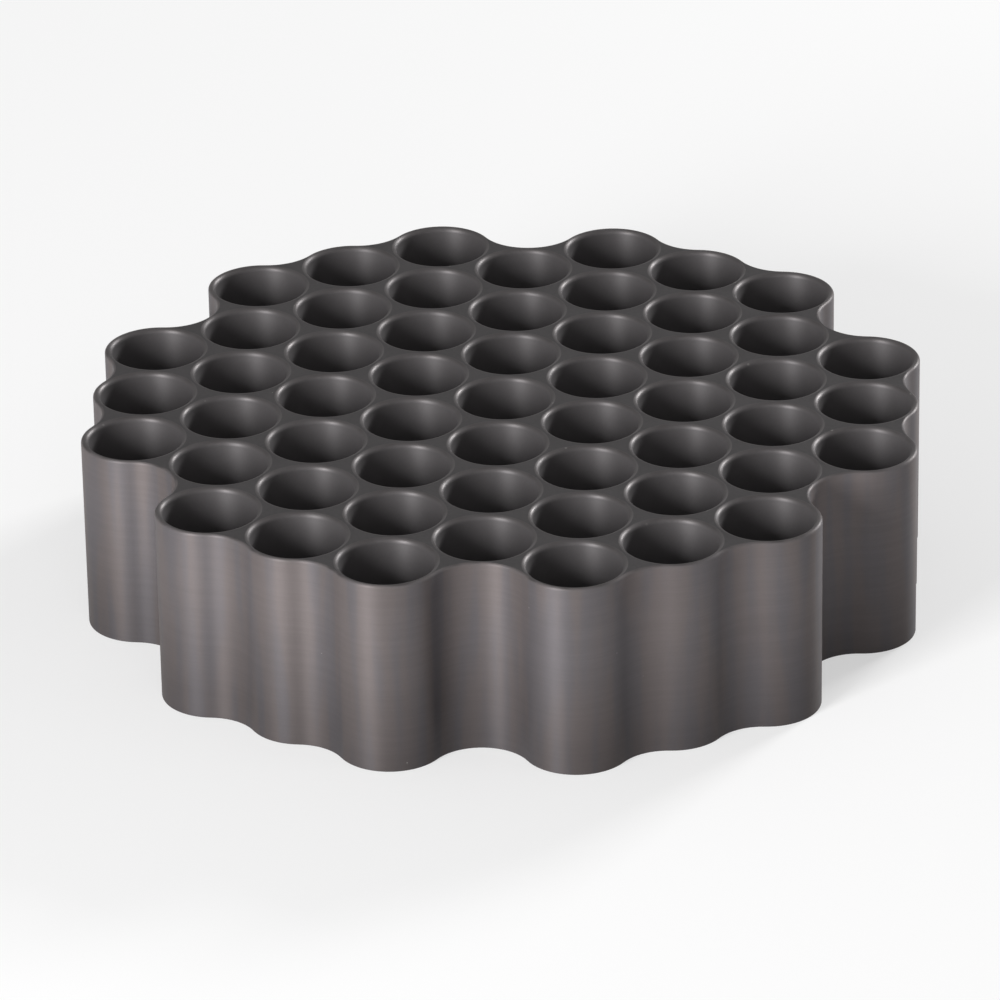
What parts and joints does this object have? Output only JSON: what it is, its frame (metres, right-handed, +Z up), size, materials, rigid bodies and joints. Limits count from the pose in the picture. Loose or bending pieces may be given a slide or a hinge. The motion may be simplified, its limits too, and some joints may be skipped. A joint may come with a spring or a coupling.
{
  "type": "heat block insert",
  "caption": "Round aluminium heat block with a honeycomb of blind wells for small glass vials and a scalloped side that follows its outer wells.",
  "frame": {"origin": "middle of the flat base, under the centre well", "axes": "+Z up out of the wells; the honeycomb's columns run along Y; X crosses the columns"},
  "size_m": [0.1114, 0.1124, 0.027],
  "materials": {
    "anodised_aluminium": "dark grey hard anodised, satin, over fine machining marks"
  },
  "bodies": {
    "root": {"vial_block": "anodised_aluminium"}
  },
  "joints": []
}
